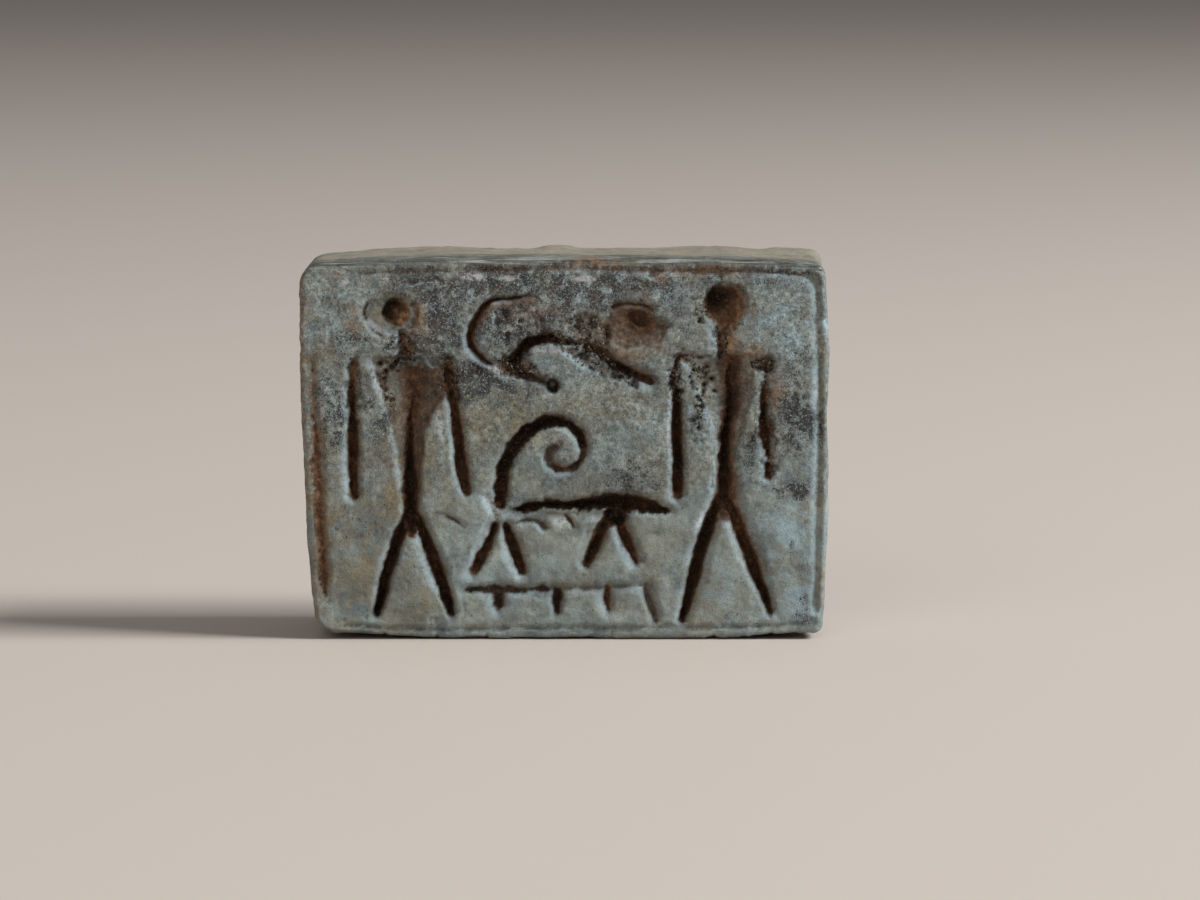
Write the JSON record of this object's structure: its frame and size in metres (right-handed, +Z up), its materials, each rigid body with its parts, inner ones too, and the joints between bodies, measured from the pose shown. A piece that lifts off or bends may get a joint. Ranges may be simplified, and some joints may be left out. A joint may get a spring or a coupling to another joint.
{
  "type": "engraved amulet bead",
  "caption": "Small rectangular stone bead engraved with standing figures, a coiled-tailed animal and a border line, bored lengthwise for a string.",
  "frame": {"origin": "middle of the underside, the long narrow side that the bead stands on", "axes": "+X along the long side, +Z up, and the engraved face looks along -Y"},
  "size_m": [0.0162, 0.0054, 0.0117],
  "materials": {
    "stone": "matte, worn, pale grey-green soft stone with dark speckle, brown dirt in the cuts and a dull waxy sheen"
  },
  "bodies": {
    "root": {"amulet_bead": "stone"}
  },
  "joints": []
}
